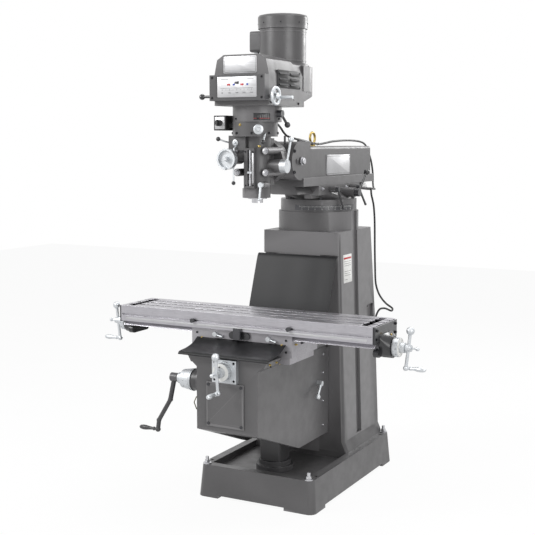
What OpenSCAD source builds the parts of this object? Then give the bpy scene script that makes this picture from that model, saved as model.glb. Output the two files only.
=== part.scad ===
// Vertical turret knee milling machine, floor standing, with a variable-speed head.
// Origin: on the floor, at the centre of the base. +X is the table's long axis, to the
// operator's right. +Y points from the operator to the column. +Z is up. Millimetres.

/* [Base] */
// Width of the base at the floor
base_w = 610; // [560:1:740]
// Depth of the base at the floor
base_d = 960; // [900:1:1160]
// Height of the base to its rim
base_h = 154; // [140:1:160]
// Height of the coolant pan's floor
pan_z = 122; // [100:1:130]
// Width of the rim round the pan
rim_w = 42; // [38:1:50]
// Radius of the floor anchor holes
anchor_r = 8; // [6:0.5:9]

/* [Column] */
// Half width of the column at its shoulder
column_hw = 202; // [190:1:215]
// Height of the column's shoulder
shoulder_z = 1235; // [1225:1:1300]
// Radius of the round neck under the turret
neck_r = 200; // [195:1:203]
// Height of the neck above the shoulder
neck_h = 93; // [70:1:120]
// Height of the vertical ways' upper end, under the lip
lip_z = 1124; // [1120:1:1160]
// Half width of the vertical ways at their face
way_hw = 121; // [110:1:124]

/* [Knee] */
// Half width of the knee
knee_hw = 153; // [148:1:170]
// Distance of the knee's front face from the origin
knee_front = 722; // [715:1:740]
// Height of the knee's top ways at rest
knee_top = 735; // [734:0.5:736]
// Travel of the knee downwards from rest
knee_down = 120; // [60:2.5:120]
// Travel of the knee upwards from rest
knee_up = 285; // [200:2.5:285]
// Throw of the elevating crank
crank_throw = 255; // [200:1:260]

/* [Table] */
// Length of the table
table_l = 1270; // [1220:1:1530]
// Width of the table
table_w = 254; // [240:1:300]
// Height of the table top at rest
table_top = 908.5; // [905:0.5:912]
// Thickness of the table's slab
table_t = 73.5; // [70:0.5:74]
// Width of a T-slot's throat
slot_w = 16; // [12:1:18]
// Distance between T-slots
slot_pitch = 63.5; // [58:0.5:70]
// Length of a ball handle's arm, from the screw to the grip
handle_arm = 86; // [70:1:90]

/* [Head] */
// Radius of the quill
quill_r = 42.8; // [38:0.1:44]
// Travel of the quill
quill_travel = 127; // [100:1:127]
// Radius of the motor's body
motor_r = 107; // [90:1:112]
// Height of the motor from its foot to its fan cover
motor_h = 172; // [140:1:206]
// Length of the ram's body behind its front block
ram_l = 736; // [640:1:880]
// Height of the ram's body above its flange
ram_h = 146; // [140:1:150]

/* [Hidden] */

$fn = 48;
e = 0.5;             // extra length of a cutting tool
gap = 0.3;           // clearance between bodies that slide or pass
fit = 0.05;          // radial clearance of a shaft in its bore

enamel = [0.40, 0.39, 0.40];
dark_enamel = [0.30, 0.30, 0.31];
steel = [0.60, 0.60, 0.63];
silver = [0.80, 0.81, 0.83];
black = [0.05, 0.05, 0.06];
brass = [0.72, 0.58, 0.27];

// Column, ways and pedestal
draft = 12;
base_wall = 60;
corner_r = 34;
bolt_x = base_w / 2 - 38;
bolt_y = base_d / 2 - 30;
anchor_x = base_w / 2 - 31;
anchor_y = base_d / 2 - 90;
stud_r = 8;
column_foot_hw = base_w / 2 - 48;
column_wall = 18;
column_waist_hw = column_hw + 14;
waist_z = 800;
side_lean = atan(14 / (shoulder_z - waist_z));
groove_y = 196;
groove_depth = 11;
column_front = 8;
column_back_top = 413;
column_back = base_d / 2 - 14;
lip_front = -5;
way_depth = 36;
way_slope = tan(30);
way_face = column_front - way_depth;
neck_y = 205;
neck_top = shoulder_z + neck_h;
lift_y = -268;       // axis of the elevating screw
lift_r = 20;
post_w = 106;
screw_low = knee_down + 30;
screw_top = 640;
post_top = screw_low + knee_up + 27;
thrust_z = 610;      // ceiling of the knee's hollow, on the screw's collar

// Knee
knee_back = way_face - gap;
knee_low = 250;
knee_low_y = -319;
knee_nose_z = 404;
top_way_hw = 200;
top_way_t = 31;
top_way_undercut = top_way_t * tan(30);
cross_z = 682;       // axis of the cross feed screw
crank_y = -660;
crank_z = 608;
screw_r = 12;

// Saddle and table
saddle_hw = 254;
saddle_front = -596;
saddle_back = -340;
table_y = -485;
table_under = table_top - table_t;
dovetail_h = 23;
dovetail_hw = 92;
table_dove_low = table_under - dovetail_h;
feed_z = 808;        // axis of the table's screw
channel_hw = 24;
table_end = table_l / 2;

// Turret and ram
turret_r = 190;
turret_top = 1460;
turret_ring_h = 59;
seat_hw = 125;
seat_front = -60;
seat_back = 430;
ram_dove_h = 36;
ram_dove_hw = 70;
ram_flange_hw = 120;
ram_flange_h = 40;
ram_hw = 112;
ram_front = -131;
ram_back = ram_front + ram_l;
ram_flange_z = turret_top + gap;
ram_z = ram_flange_z + ram_flange_h;
pinion_x = 218;
pinion_y = 200;
pinion_z = 1420;

// Head
pivot_y = -235;
pivot_z = 1580;
cheek_r = 89;
cheek_hw = 115;
slot_hw = 58;
knuckle_r = 86;
pin_r = 16;
flange_r = 100;
knuckle_face = -356;
head_flange_t = 29;
spindle_y = -441;
nose_z = 1396;
collar_low = 1419;
quill_low = 1414;
housing_r = 61;
gear_r = 109;
gear_low = 1755;
gear_top = 1824;
ring_r = 101;
ring_low = 1691;
belt_front = -585;
belt_hw = 134;
belt_back_r = 137;
belt_top = 2010;
hood_top = 2042;
motor_y = -193;
panel_front = -625;
coarse_y = -430;
coarse_z = 1561;
fine_x = -88;
fine_z = 1592;
lever_y = -455;      // axis of the range lever
wheel_z = 1863;
wheel_y = -575;

// Routes of the cable's four lengths, each held by the bodies at its two ends
cable_head = [
    [52, -353, 1750], [54, -332, 1739.5], [54, -310, 1726], [51.5, -289, 1714], [50, -268.4, 1704.2]];
cable_knuckle = [[50, -267.6, 1703.9], [50.5, -247, 1694.8], [60, -222, 1687], [64, -196.4, 1682.6]];
cable_ram = [
    [64.1, -195.6, 1682.5], [67, -150, 1677.5], [68, -100, 1672], [66, 60, 1657], [66, 200, 1668],
    [66, 340, 1674], [66, 470, 1674], [68, 570, 1668], [74, 622, 1652], [84, 646, 1610],
    [98, 652, 1560], [107, 652, 1500], [116, 634, 1452], [148, 566, 1426], [184, 494, 1425],
    [187, 452.4, 1428]
];
cable_column = [
    [187, 451.6, 1428.1], [188, 436, 1427.5], [194, 427, 1396], [200, 442, 1345], [203, 452, 1260],
    [203, 458, 1130], [204, 464, 1010], [207, 470, 930], [224, 484, 870], [256, 496, 828],
    [288, 500, 806], [290, 480, 795], [266, 462, 808], [242, 446, 806], [230, 434, 784], [224, 424, 756]
];

// Cylinder along X between two places
module rod_x(x0, x1, y, z, r, n = 48)
    translate([x0, y, z]) rotate([0, 90, 0]) cylinder(r = r, h = x1 - x0, $fn = n);

// Cylinder along Y between two places
module rod_y(y0, y1, x, z, r, n = 48)
    translate([x, y0, z]) rotate([-90, 0, 0]) cylinder(r = r, h = y1 - y0, $fn = n);

// Cylinder along Z between two heights
module rod_z(z0, z1, x, y, r, n = 48)
    translate([x, y, z0]) cylinder(r = r, h = z1 - z0, $fn = n);

// Block given by its low and high corners
module block(low, high) translate(low) cube(high - low);

// Cylinder from one point to another
module bar(a, b, r, n = 24) {
    v = b - a;
    len = norm(v);
    translate(a) rotate([0, acos(v[2] / len), atan2(v[1], v[0])]) cylinder(r = r, h = len, $fn = n);
}

// Ball at a point
module ball(p, r) translate(p) sphere(r = r, $fn = 32);

// Block with rounded upright edges, which narrows by `taper` on each side towards its top
module drafted(w, d, z0, z1, r, taper) hull() {
    translate([0, 0, z0]) linear_extrude(0.1) rounded_rect(w, d, r);
    translate([0, 0, z1 - 0.1]) linear_extrude(0.1) rounded_rect(w - 2 * taper, d - 2 * taper, r);
}

module rounded_rect(w, d, r) hull()
    for (x = [-1, 1], y = [-1, 1])
        translate([x * (w / 2 - r), y * (d / 2 - r)]) circle(r = r, $fn = 24);

// Upright prism over an outline in the XZ plane, from y0 to y1
module prism_y(y0, y1, outline)
    translate([0, y1, 0]) rotate([90, 0, 0]) linear_extrude(y1 - y0) polygon(outline);

// Upright prism over an outline in the YZ plane, from x0 to x1
module prism_x(x0, x1, outline)
    translate([x0, 0, 0]) rotate([90, 0, 90]) linear_extrude(x1 - x0) polygon(outline);

// Ball crank handle on a hub at the origin, which looks along +Z, with its shaft's bore
module ball_crank(arm, bore) {
    ball_at = [0, arm * 0.86, 8];
    joint_at = [0, -arm, -10];
    difference() {
        union() {
            translate([0, 0, -12]) cylinder(r = 14, h = 26);
            bar([0, 0, 0], ball_at, 7);
            bar([0, 0, 0], joint_at, 7);
            ball(ball_at, 17.5);
            ball(joint_at, 12);
            translate(joint_at) turned_grip(88);
            translate([0, 0, 13]) cylinder(r = 4, h = 26);
            ball([0, 0, 40], 9);
        }
        translate([0, 0, -12 - e]) cylinder(r = bore, h = 20 + e);
    }
}

// Tapered machine grip along +Z
module turned_grip(length) rotate_extrude($fn = 32) polygon([
    [0, 0], [8, 6], [6, 16], [9, 20], [9, 24], [6.5, 28], [8, length * 0.45],
    [11, length * 0.66], [11.5, length * 0.8], [9, length * 0.94], [5, length], [0, length]
]);

// Tube of radius r swept along a route by rings of `sides` points
function unit(v) = v / norm(v);
function route_dir(p, i) =
    unit(p[min(i + 1, len(p) - 1)] - p[max(i - 1, 0)]);
function side_of(d) = unit(cross(d, abs(d[0]) < 0.9 ? [1, 0, 0] : [0, 1, 0]));
function spline(p, i, t) =
    let (a = p[max(i - 1, 0)], b = p[i], c = p[i + 1], d = p[min(i + 2, len(p) - 1)])
    0.5 * (2 * b + (c - a) * t + (2 * a - 5 * b + 4 * c - d) * t * t
        + (3 * b - a - 3 * c + d) * t * t * t);
function smooth_route(p, steps) = concat(
    [for (i = [0 : len(p) - 2], s = [0 : steps - 1]) spline(p, i, s / steps)], [p[len(p) - 1]]);

module cable(route, steps, r = 5, sides = 8) {
    path = smooth_route(route, steps);
    n = len(path);
    points = [for (i = [0 : n - 1], k = [0 : sides - 1])
        let (d = route_dir(path, i), u = side_of(d), v = cross(d, u), a = 360 * k / sides)
        path[i] + r * (cos(a) * u + sin(a) * v)];
    sides_faces = [for (i = [0 : n - 2], k = [0 : sides - 1])
        let (q = (k + 1) % sides)
        [i * sides + k, i * sides + q, (i + 1) * sides + q, (i + 1) * sides + k]];
    first = [for (k = [sides - 1 : -1 : 0]) k];
    last = [for (k = [0 : sides - 1]) (n - 1) * sides + k];
    polyhedron(points, concat([first], sides_faces, [last]));
}

// Outline of a dovetail way: root half width, height and flare, from z0 upwards or downwards
function dovetail(root, flare, z_root, z_free) =
    [[-root, z_root], [-root - flare, z_free], [root + flare, z_free], [root, z_root]];

// ---------------------------------------------------------------- base and column

module base_casting() color(enamel) difference() {
    drafted(base_w, base_d, 0, base_h, corner_r, draft);
    // pan in the top, in front of the column
    pan_hw = base_w / 2 - rim_w - draft;
    pan_front = -base_d / 2 + rim_w + draft;
    translate([0, (pan_front + column_front) / 2, pan_z]) linear_extrude(base_h)
        rounded_rect(2 * pan_hw, column_front - pan_front, 8);
    // hollow underneath, with solid corners round the bolts
    difference() {
        block([-base_w / 2 + base_wall, -base_d / 2 + base_wall, -e],
              [base_w / 2 - base_wall, base_d / 2 - base_wall, pan_z - 24]);
        for (x = [-1, 1], y = [-1, 1])
            translate([x * (base_w / 2 - 70), y * (base_d / 2 - 100), 0])
                cylinder(r = 70, h = pan_z);
        rod_z(-1, pan_z, 0, lift_y, 70);
    }
    // arches between the feet
    block([-base_w / 2 + 112, -base_d, -e], [base_w / 2 - 150, base_d, 14]);
    block([-base_w, -base_d / 2 + 130, -e], [base_w, base_d / 2 - 130, 14]);
    for (x = [-1, 1], y = [-1, 1]) {
        rod_z(-e, base_h + e, x * bolt_x, y * bolt_y, stud_r + gap);
        rod_z(-e, base_h + e, x * anchor_x, y * anchor_y, anchor_r);
    }
    rod_z(20, pan_z + e, 0, lift_y, lift_r + 6);
}

// Levelling screws in the base's corners, each with its washer and nut
module levelling_screws() color(steel)
    for (x = [-1, 1], y = [-1, 1]) translate([x * bolt_x, y * bolt_y, 0]) {
        cylinder(r = stud_r, h = base_h + 34);
        translate([0, 0, base_h]) cylinder(r = 20, h = 4);
        translate([0, 0, base_h + 4]) cylinder(r = 13, h = 13, $fn = 6);
    }

module column_outline(hw, front, back, r = 16) {
    translate([0, (front + back) / 2]) rounded_rect(2 * hw, back - front, r);
}

module column_shell(inset) {
    waist_hw = column_waist_hw;
    back_waist = column_back_top + 36;
    hull() {
        translate([0, 0, waist_z]) linear_extrude(0.1)
            column_outline(waist_hw - inset, column_front + inset, back_waist - inset);
        translate([0, 0, shoulder_z - 0.1 - inset]) linear_extrude(0.1)
            column_outline(column_hw - inset, column_front + inset, column_back_top - inset);
    }
    hull() {
        translate([0, 0, base_h + 50]) linear_extrude(0.1)
            column_outline(column_foot_hw - 20 - inset, column_front + inset, column_back - 6 - inset);
        translate([0, 0, waist_z]) linear_extrude(0.1)
            column_outline(waist_hw - inset, column_front + inset, back_waist - inset);
    }
    hull() {
        translate([0, 0, base_h]) linear_extrude(0.1)
            column_outline(column_foot_hw - inset, column_front + inset, column_back - inset);
        translate([0, 0, base_h + 50]) linear_extrude(0.1)
            column_outline(column_foot_hw - 20 - inset, column_front + inset, column_back - 6 - inset);
    }
}

module column_casting() color(enamel) {
    difference() {
        union() {
            column_shell(0);
            // lip above the ways
            translate([0, 0, lip_z]) linear_extrude(shoulder_z - lip_z)
                column_outline(column_hw, lip_front, column_back_top - 60, 8);
            // vertical ways, with a root sunk in the column
            way_root = way_hw - way_depth * way_slope;
            translate([0, 0, base_h]) linear_extrude(lip_z - base_h) polygon([
                [-way_root, column_front + 2], [-way_root, column_front], [-way_hw, way_face],
                [way_hw, way_face], [way_root, column_front], [way_root, column_front + 2]]);
            rod_z(shoulder_z - 2, neck_top, 0, neck_y, neck_r, 96);
        }
        // hollow inside, closed by the base below
        difference() {
            column_shell(column_wall);
            block([-400, -100, 0], [400, 600, base_h + 0.2]);
        }
        rod_z(base_h - e, base_h + 40, 0, neck_y, 120);
        // room round the rear levelling screws
        for (side = [-1, 1]) rod_z(base_h - e, base_h + 60, side * bolt_x, bolt_y, 24);
        // upright groove in each side, and a hand hole in the right one
        for (side = [-1, 1])
            translate([side * column_waist_hw, groove_y, waist_z]) rotate([0, -side * side_lean, 0])
                block([-groove_depth, -30, base_h + 60 - waist_z], [groove_depth, 30, 600]);
        block([column_hw, 330, 764], [column_hw + 60, 412, 842]);
        // bore for the turret's spigot
        rod_z(neck_top - 40, neck_top + e, 0, neck_y, 120, 96);
    }
}

// Square post and round foot which hold the elevating screw's nut
module elevating_pedestal() color(dark_enamel) difference() {
    union() {
        rod_z(pan_z, pan_z + 26, 0, lift_y, 90, 64);
        rod_z(pan_z + 26, pan_z + 48, 0, lift_y, 76, 64);
        translate([0, lift_y, pan_z + 48]) linear_extrude(post_top - pan_z - 48)
            rounded_rect(post_w, post_w, 10);
        rod_z(post_top, post_top + 12, 0, lift_y, 36);
    }
    rod_z(post_top - 40, post_top + 13, 0, lift_y, lift_r + fit);
    rod_z(pan_z - e, post_top - 39, 0, lift_y, lift_r + 6);
}

// Rubber sheet from the column's lip down to the back of the knee
guard_t = 3;
guard_hw = 215;
guard_line = [
    [way_face - 0.4, lip_z - 0.4], [way_face - 16, lip_z - 8], [-66, 1060], [-96, 980],
    [-128, 890], [-148, 820], [-158, 775], [-160, knee_top + 0.4]
];
module rear_way_guard() color(black) prism_x(-guard_hw, guard_hw, concat(
    guard_line, [for (i = [len(guard_line) - 1 : -1 : 0]) guard_line[i] - [guard_t, 0]]));

// ---------------------------------------------------------------- knee

module knee_casting() color(enamel) difference() {
    union() {
        prism_x(-knee_hw, knee_hw, [
            [-knee_front, knee_nose_z], [-knee_front, knee_top - top_way_t - 2],
            [knee_back, knee_top - top_way_t - 2], [knee_back, knee_low], [knee_low_y, knee_low]]);
        // arms that reach round the column's ways
        block([-knee_hw, knee_back - 2, knee_low], [knee_hw, column_front - 5, knee_top - 60]);
        // neck and top ways
        prism_y(-knee_front, knee_back, [
            [-knee_hw, knee_top - top_way_t - 18], [-knee_hw - 22, knee_top - top_way_t],
            [knee_hw + 22, knee_top - top_way_t], [knee_hw, knee_top - top_way_t - 18]]);
        prism_y(-knee_front, knee_back, dovetail(
            top_way_hw - top_way_undercut, top_way_undercut, knee_top - top_way_t, knee_top));
    }
    // dovetail groove at the back
    groove_root = way_hw - way_depth * way_slope + gap;
    translate([0, 0, knee_low - e]) linear_extrude(knee_top) polygon([
        [-groove_root, column_front], [-way_hw - gap, way_face - gap],
        [way_hw + gap, way_face - gap], [groove_root, column_front]]);
    // hollow, open underneath
    block([-knee_hw + 32, -knee_front + 90, 0], [knee_hw - 32, knee_back - 40, thrust_z]);
    block([-knee_hw + 32, -knee_front + 40, 440], [knee_hw - 32, -knee_front + 100, thrust_z]);
    // well for the cross feed nut
    block([-56, -knee_front + 60, 645], [56, -240, knee_top + e]);
    // bores of the cross feed screw, the crank shaft and the elevating screw
    rod_y(-knee_front - e, -200, 0, cross_z, screw_r + fit);
    rod_z(thrust_z - 10, screw_top + 1, 0, lift_y, lift_r + fit);
    // pocket behind the front cover
    block([-90, -knee_front - e, 435], [78, -knee_front + 12, 616]);
    // mouth of the saddle's clearance at the back of the groove
    block([-guard_hw, knee_back + 1, knee_top - 60], [guard_hw, 0, knee_top + e]);
}

cover_low = 426;
cover_high = 625;
cover_left = -100;
cover_right = 87;
module knee_front_cover() color(enamel) difference() {
    block([cover_left, -knee_front - 5, cover_low], [cover_right, -knee_front, cover_high]);
    for (x = [cover_left + 10, cover_right - 12], z = [cover_low + 12, cover_high - 12])
        rod_y(-knee_front - 6, -knee_front + 1, x, z, 4.3);
}

module cover_screws() color(black)
    for (x = [cover_left + 10, cover_right - 12], z = [cover_low + 12, cover_high - 12]) {
        rod_y(-knee_front - 8, -knee_front - 5, x, z, 7);
        rod_y(-knee_front - 5, -knee_front, x, z, 4);
    }

bracket_face = -knee_front - 23;
module cross_feed_bracket() color(silver) difference() {
    union() {
        block([-60, bracket_face, cross_z - 52], [60, -knee_front, cross_z + 50]);
        rod_y(bracket_face - 6, bracket_face, 0, cross_z, 44, 64);
    }
    rod_y(bracket_face - 7, -knee_front + 1, 0, cross_z, screw_r + fit);
    for (x = [-48, 48], z = [cross_z - 40, cross_z + 38])
        rod_y(bracket_face - e, bracket_face + 8, x, z, 6);
}

module lift_shaft_housing() color(dark_enamel) difference() {
    union() {
        rod_x(-knee_hw - 10, -knee_hw, crank_y, crank_z, 60, 64);
        rod_x(-knee_hw - 46, -knee_hw - 10, crank_y, crank_z, 46, 64);
    }
    rod_x(-knee_hw - 47, -knee_hw + 1, crank_y, crank_z, screw_r + fit);
}

// Rubber apron from the saddle's front down over the knee's front edge
front_line = [
    [saddle_front - 0.4, 790], [-606, 786], [-640, 768], [-690, 757], [-744, 752], [-757, 746], [-760, 738]
];
module front_way_guard() color(black) prism_x(-226, 226, concat(
    front_line, [for (i = [len(front_line) - 1 : -1 : 0]) front_line[i] - [guard_t / 2, -guard_t]]));

// Thin lubrication line in a loop at the knee's left side
module oil_tube() color([0.35, 0.33, 0.18]) cable([
    [-knee_hw - 1.5, -690, 548], [-knee_hw - 22, -690, 538], [-knee_hw - 34, -690, 512],
    [-knee_hw - 22, -690, 484], [-knee_hw - 1.5, -690, 474]], 1, 2.5);

module elevating_screw() color(steel) {
    rod_z(screw_low, screw_top, 0, lift_y, lift_r);
    rod_z(thrust_z - gap - 8, thrust_z - gap, 0, lift_y, 40);
}

// Goose-neck crank: hub, bent arm and grip, outside the lift dial
crank_hub_x = -knee_hw - 150;
module knee_crank() color(dark_enamel) difference() {
    elbow = [crank_hub_x - 30, crank_y, crank_z - crank_throw * 0.42];
    foot = [crank_hub_x - 100, crank_y, crank_z - crank_throw];
    union() {
        rod_x(crank_hub_x - 22, crank_hub_x + 20, crank_y, crank_z, 20);
        bar([crank_hub_x - 6, crank_y, crank_z], elbow, 11);
        ball(elbow, 12);
        bar(elbow, [foot[0] + 6, crank_y, foot[2] + 44], 10);
        ball([foot[0] + 6, crank_y, foot[2] + 44], 11.5);
        bar([foot[0] + 6, crank_y, foot[2] + 44], foot, 10);
        ball(foot, 12.5);
        translate(foot) rotate([0, -90, 0]) turned_grip(100);
        rod_x(crank_hub_x + 19, -knee_hw - 4, crank_y, crank_z, screw_r);
    }
    rod_x(crank_hub_x - 23, crank_hub_x - 14, crank_y, crank_z, 6);
}

module lift_dial() color(silver) difference() {
    union() {
        translate([-knee_hw - 46 - gap, crank_y, crank_z]) rotate([0, -90, 0])
            cylinder(r1 = 51, r2 = 42, h = 58, $fn = 64);
        rod_x(-knee_hw - 128, -knee_hw - 103, crank_y, crank_z, 25);
    }
    rod_x(-knee_hw - 129, -knee_hw - 45, crank_y, crank_z, screw_r);
}

// ---------------------------------------------------------------- cross feed

cross_hub_y = bracket_face - 61;
module cross_screw() color(steel) rod_y(cross_hub_y - 6, -210, 0, cross_z, screw_r);

module cross_dial() color(silver) difference() {
    union() {
        rod_y(bracket_face - 30, bracket_face - 6.3, 0, cross_z, 40, 64);
        rod_y(bracket_face - 48, bracket_face - 30, 0, cross_z, 22);
    }
    rod_y(bracket_face - 49, bracket_face - 6, 0, cross_z, screw_r);
}

module cross_handle() color(silver)
    translate([0, cross_hub_y, cross_z]) rotate([90, 0, 0]) ball_crank(handle_arm, screw_r);

// Clamp lever on the knee's right side, which locks the knee to the ways
module knee_lock_lever() color(silver) {
    rod_x(knee_hw + gap, knee_hw + 26, -120, 520, 12);
    bar([knee_hw + 18, -120, 520], [knee_hw + 34, -190, 470], 6);
    ball([knee_hw + 34, -190, 470], 13);
}

// ---------------------------------------------------------------- saddle

module saddle_casting() color(steel) difference() {
    union() {
        difference() {
            union() {
                block([-saddle_hw, saddle_front, knee_top + gap],
                      [saddle_hw, saddle_back, table_under - gap]);
                // arms that reach round the knee's top ways
                for (side = [0, 1]) mirror([side, 0, 0])
                    block([top_way_hw - 20, saddle_front + 8, knee_top - top_way_t + gap],
                          [saddle_hw - 14, saddle_back - 8, knee_top + 1]);
            }
            prism_y(saddle_front - e, saddle_back + e, dovetail(
                top_way_hw - top_way_undercut + 2 * gap, top_way_undercut,
                knee_top - top_way_t - e, knee_top + gap));
        }
        // nut of the cross feed screw
        block([-44, -500, cross_z - 28], [44, -430, knee_top + 1]);
    }
    rod_y(-501, -429, 0, cross_z, screw_r + fit);
    // dovetail groove for the table
    translate([0, table_y, 0]) prism_x(-saddle_hw - e, saddle_hw + e, dovetail(
        dovetail_hw + 2 * gap, dovetail_h * tan(30), table_under, table_dove_low - gap));
    // channel for the table's screw, with its nut left in the middle
    for (side = [-1, 1])
        block([side > 0 ? 40 : -saddle_hw - e, table_y - channel_hw, feed_z - 24],
              [side > 0 ? saddle_hw + e : -40, table_y + channel_hw, table_under]);
    rod_x(-41, 41, table_y, feed_z, screw_r + fit);
    for (x = [-128, 142]) rod_y(saddle_front - e, saddle_front + 4, x, 812, 6 + fit);
}

// Bracket at the middle of the saddle's front, which the table's stops pass over
module table_stop_bracket() color(black) {
    block([-22, saddle_front - 32, 800], [12, saddle_front - 18, 851]);
    block([-22, saddle_front - 32, 800], [12, saddle_front - 9, 812]);
    hull() for (x = [-40, 32])
        rod_y(saddle_front - 10, saddle_front, x, 814, 16, 32);
}

module table_lock(x) color(silver) {
    rod_y(saddle_front - 12, saddle_front + 3.5, x, 812, 6, 32);
    rod_y(saddle_front - 14, saddle_front - gap, x, 812, 11, 32);
    bar([x, saddle_front - 8, 812], [x + 34, saddle_front - 11, 803], 4);
    ball([x + 34, saddle_front - 11, 803], 7);
}

module table_lock_left() table_lock(-128);
module table_lock_right() table_lock(142);

// ---------------------------------------------------------------- table

module table_casting() color(steel) difference() {
    union() {
        block([-table_end, table_y - table_w / 2, table_under],
              [table_end, table_y + table_w / 2, table_top]);
        translate([0, table_y, 0]) prism_x(-table_end, table_end, dovetail(
            dovetail_hw, dovetail_h * tan(30), table_under, table_dove_low));
    }
    // three T-slots
    for (i = [-1, 0, 1]) {
        y = table_y + i * slot_pitch;
        block([-table_end - e, y - slot_w / 2, table_top - 32],
              [table_end + e, y + slot_w / 2, table_top + e]);
        block([-table_end - e, y - slot_w, table_top - 32], [table_end + e, y + slot_w, table_top - 17]);
    }
    // groove for the stops in the front face
    block([-table_end + 6, table_y - table_w / 2 - e, 863],
          [table_end - 6, table_y - table_w / 2 + 9, 871]);
    // coolant troughs across both ends
    for (side = [-1, 1])
        translate([side * (table_end - 46), table_y, 0])
            block([-16, -table_w / 2 + 16, table_top - 16], [16, table_w / 2 - 16, table_top + e]);
    // channel for the screw
    block([-table_end - e, table_y - channel_hw, table_dove_low - e],
          [table_end + e, table_y + channel_hw, table_under - 1]);
}

// End bracket with the screw's bearing, from the table's end face outwards
module end_bracket(nose) difference() {
    union() {
        block([0, -table_w / 2 + 4, table_under - 4], [10, table_w / 2 - 4, table_top - 3]);
        hull() {
            rod_x(0, 33 + nose, 0, feed_z, 48, 32);
            block([0, -70, table_under], [10, 70, table_under + 30]);
        }
        rod_x(33 + nose - 1, 33 + nose + 5, 0, feed_z, 40, 64);
        hull() for (y = [-52, 52]) rod_x(-22, 1, y, feed_z - 24, 18, 32);
    }
    rod_x(-23, 33 + nose + 6, 0, feed_z, screw_r + fit);
    block([-23, -dovetail_hw - 30, table_dove_low - gap], [0, dovetail_hw + 30, table_top]);
}

bracket_nose = 12;
module right_end_bracket() color(black)
    translate([table_end, table_y, 0]) end_bracket(bracket_nose);

module left_end_bracket() color(black)
    mirror([1, 0, 0]) translate([table_end, table_y, 0]) end_bracket(bracket_nose);

module table_stops() color(black)
    for (x = [-238, 248]) {
        rod_y(table_y - table_w / 2 - 14, table_y - table_w / 2, x, 867, 10, 32);
        rod_y(table_y - table_w / 2, table_y - table_w / 2 + 8, x, 867, 3.7, 32);
    }

dial_x = table_end + 33 + bracket_nose + 5 + gap;
hub_x = dial_x + 60;
module table_screw() color(steel) rod_x(-hub_x - 6, hub_x + 6, table_y, feed_z, screw_r);

module right_handle() color(silver)
    translate([hub_x, table_y, feed_z]) rotate([90, 0, 90]) ball_crank(handle_arm, screw_r);

module left_handle() color(silver) mirror([1, 0, 0])
    translate([hub_x, table_y, feed_z]) rotate([90, 0, 90]) ball_crank(handle_arm, screw_r);

module table_dials() color(silver) for (side = [0, 1]) mirror([side, 0, 0]) difference() {
    union() {
        rod_x(dial_x, dial_x + 24, table_y, feed_z, 41, 64);
        rod_x(dial_x + 24, dial_x + 47, table_y, feed_z, 22);
    }
    rod_x(dial_x - e, dial_x + 48, table_y, feed_z, screw_r);
}

// ---------------------------------------------------------------- turret

module turret_casting() color(enamel) difference() {
    union() {
        rod_z(neck_top + gap, neck_top + turret_ring_h, 0, neck_y, turret_r, 96);
        rod_z(neck_top - 38, neck_top + gap + 1, 0, neck_y, 120 - 2 * gap, 96);
        hull() {
            rod_z(neck_top + turret_ring_h - 2, neck_top + turret_ring_h + 4, 0, neck_y, turret_r - 24, 32);
            block([-seat_hw + 5, neck_y - 150, turret_top - 40],
                  [seat_hw - 5, neck_y + 160, turret_top - 30]);
        }
        block([-seat_hw, seat_front, turret_top - 46], [seat_hw, seat_back, turret_top]);
        // bosses of the lock levers and of the pinion shaft
        for (y = [65, 320]) rod_x(100, 160, y, 1440, 16);
        rod_x(100, 200, pinion_y, pinion_z, 24);
        block([48, seat_front, turret_top - 62], [84, seat_front + 120, turret_top - 40]);
        // arm that carries the cable
        bar([118, seat_back - 14, 1434], [164, 444, 1428], 7);
        rod_x(160, 181.4, 444, 1428, 7, 32);
    }
    prism_y(seat_front - e, seat_back + e, dovetail(
        ram_dove_hw + 2 * gap, ram_dove_h * tan(30), turret_top + e, turret_top - ram_dove_h - gap));
    rod_x(90, 201, pinion_y, pinion_z, 9 + fit);
    for (y = [65, 320]) rod_x(120, 161, y, 1440, 7 + fit);
    // step for the degree band
    difference() {
        rod_z(neck_top + 8, neck_top + 34, 0, neck_y, turret_r + 1, 96);
        rod_z(neck_top + 7, neck_top + 35, 0, neck_y, turret_r - 3, 96);
        block([-300, neck_y, 0], [300, neck_y + 300, 2000]);
        block([-300, -300, 0], [-40, 600, 2000]);
    }
}

module degree_band() color(black) difference() {
    rod_z(neck_top + 8.2, neck_top + 33.8, 0, neck_y, turret_r + 1, 96);
    rod_z(neck_top + 7, neck_top + 35, 0, neck_y, turret_r - 2.8, 96);
    block([-300, neck_y - 0.2, 0], [300, neck_y + 300, 2000]);
    block([-300, -300, 0], [-39.8, 600, 2000]);
}

// Lever on a boss at the turret's right side
module ram_lock(y, tip) color(black) {
    rod_x(121, 160.3, y, 1440, 7);
    rod_x(160.3, 176, y, 1440, 12);
    bar([168, y, 1440], tip, 5.5);
    ball(tip, 6.5);
}

module front_ram_lock() ram_lock(65, [186, 90, 1350]);
module rear_ram_lock() ram_lock(320, [200, 334, 1355]);

module ram_pinion_lever() color(black) {
    rod_x(92, 201, pinion_y, pinion_z, 9);
    rod_x(200.3, pinion_x + 8, pinion_y, pinion_z, 20);
    bar([pinion_x, pinion_y, pinion_z], [pinion_x, pinion_y + 103, pinion_z + 97], 5);
    ball([pinion_x, pinion_y + 103, pinion_z + 97], 15);
}

// ---------------------------------------------------------------- ram

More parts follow.
